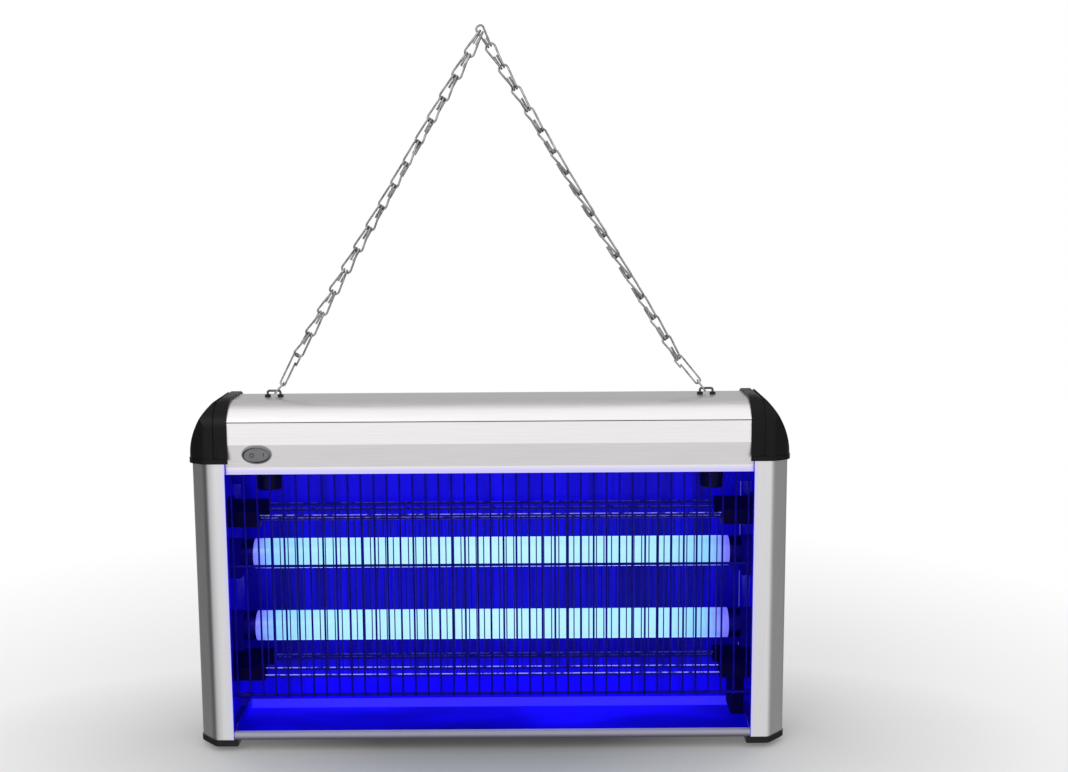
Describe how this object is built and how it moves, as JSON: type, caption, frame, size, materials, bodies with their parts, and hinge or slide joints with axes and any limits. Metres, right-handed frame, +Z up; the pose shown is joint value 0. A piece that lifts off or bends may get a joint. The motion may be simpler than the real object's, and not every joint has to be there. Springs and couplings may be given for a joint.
{
  "type": "electric bug zapper",
  "caption": "Hanging electric insect killer: two ultraviolet tubes behind a wire guard and high-voltage grids in an aluminium housing with black end caps, hung by a chain.",
  "frame": {"origin": "the point the part hangs from, inside the top of the apex link", "axes": "+X to the right and -Y to the front as seen from the front, +Z up"},
  "size_m": [0.513, 0.0887, 0.6132],
  "materials": {
    "cover_aluminium": "satin anodised extrusion with fine lengthwise brushing",
    "post_aluminium": "satin anodised extrusion",
    "reflector_sheet": "bright rolled sheet",
    "tray_sheet": "painted steel sheet with a bright front strip",
    "chassis_steel": "zinc-plated sheet steel",
    "cap_plastic": "black satin moulding with fine texture",
    "foot_plastic": "black satin moulding",
    "insulator_plastic": "black phenolic moulding",
    "holder_plastic": "dark moulded lamp holder",
    "rotor_plastic": "white moulded rotor",
    "starter_plastic": "dark moulded canister",
    "socket_plastic": "white moulded socket",
    "lamp_glass": "phosphor-coated glass tube, lit",
    "lamp_cap": "drawn aluminium cap with nickel-plated pins",
    "grid_wire": "drawn steel wire welded to round rails",
    "guard_wire": "dark coated welded wire",
    "chain_wire": "bright zinc-plated bent wire",
    "staple_wire": "plated bent wire",
    "bush_rubber": "black moulded bush",
    "switch_frame": "grey moulded oval bezel",
    "switch_key": null,
    "core_steel": "laminated core, varnished",
    "coil_copper": "wound copper under clear tape",
    "ballast_steel": "enamelled ballast case",
    "terminal_plastic": "moulded terminal strip",
    "grommet_rubber": "black rubber inlet",
    "screw_steel": "plated pan-head screws"
  },
  "bodies": {
    "hanger": {"apex_link": "chain_wire", "chain_left": "chain_wire", "chain_right": "chain_wire", "connecting_ring_left": "chain_wire", "connecting_ring_right": "chain_wire", "snap_hook_left": "chain_wire", "snap_hook_right": "chain_wire"},
    "switch_rocker": {"switch_rocker": "switch_key"},
    "collection_tray": {"collection_tray": "tray_sheet"},
    "starter_left": {"starter_left": "starter_plastic"},
    "starter_right": {"starter_right": "starter_plastic"},
    "lamp_upper": {"holder_rotors_upper": "rotor_plastic", "tube_caps_upper": "lamp_cap", "tube_glass_upper": "lamp_glass"},
    "lamp_lower": {"holder_rotors_lower": "rotor_plastic", "tube_caps_lower": "lamp_cap", "tube_glass_lower": "lamp_glass"},
    "housing": {"ballast_left": "ballast_steel", "ballast_right": "ballast_steel", "cap_screws": "screw_steel", "chassis_plate": "chassis_steel", "cord_inlet_grommet": "grommet_rubber", "end_cap_left": "cap_plastic", "end_cap_right": "cap_plastic", "end_plate_left": "chassis_steel", "end_plate_right": "chassis_steel", "foot_left": "foot_plastic", "foot_right": "foot_plastic", "front_apron": "cover_aluminium", "front_guard": "guard_wire", "grid_front_live": "grid_wire", "grid_front_return": "grid_wire", "grid_rear_live": "grid_wire", "grid_rear_return": "grid_wire", "hanging_staple_left": "staple_wire", "hanging_staple_right": "staple_wire", "insulator_lower_left": "insulator_plastic", "insulator_lower_right": "insulator_plastic", "insulator_upper_left": "insulator_plastic", "insulator_upper_right": "insulator_plastic", "lamp_holder_lower_left": "holder_plastic", "lamp_holder_lower_right": "holder_plastic", "lamp_holder_upper_left": "holder_plastic", "lamp_holder_upper_right": "holder_plastic", "post_left": "post_aluminium", "post_right": "post_aluminium", "rear_apron": "cover_aluminium", "rear_reflector": "reflector_sheet", "reflector_screws": "screw_steel", "staple_bushes": "bush_rubber", "staple_nuts": "screw_steel", "starter_socket_left": "socket_plastic", "starter_socket_right": "socket_plastic", "switch_bezel": "switch_frame", "switch_body": "switch_frame", "terminal_block": "terminal_plastic", "top_cover": "cover_aluminium", "transformer_coil": "coil_copper", "transformer_core": "core_steel"}
  },
  "joints": [
    {"name": "housing_swing", "type": "hinge", "parent": "hanger", "child": "housing", "pos_m": [0.005, 0, -0.3062], "axis": [1, 0, 0], "range_deg": [-60, 60]},
    {"name": "switch_rocker_tilt", "type": "hinge", "parent": "housing", "child": "switch_rocker", "pos_m": [-0.191, -0.03941, -0.35468], "axis": [0, 0.2425, -0.9701], "range_deg": [0, 14]},
    {"name": "tray_slide", "type": "slide", "parent": "housing", "child": "collection_tray", "axis": [0, -1, 0], "range_m": [0, 0.07]},
    {"name": "lamp_upper_twist", "type": "hinge", "parent": "housing", "child": "lamp_upper", "pos_m": [0.005, 0, -0.4504], "axis": [1, 0, 0], "range_deg": [0, 90]},
    {"name": "lamp_lower_twist", "type": "hinge", "parent": "housing", "child": "lamp_lower", "pos_m": [0.005, 0, -0.5159], "axis": [1, 0, 0], "range_deg": [0, 90]},
    {"name": "starter_left_twist", "type": "hinge", "parent": "housing", "child": "starter_left", "pos_m": [-0.188, 0, -0.3714], "axis": [0, 0, -1], "range_deg": [0, 90]},
    {"name": "starter_right_twist", "type": "hinge", "parent": "housing", "child": "starter_right", "pos_m": [0.198, 0, -0.3714], "axis": [0, 0, -1], "range_deg": [0, 90]}
  ]
}
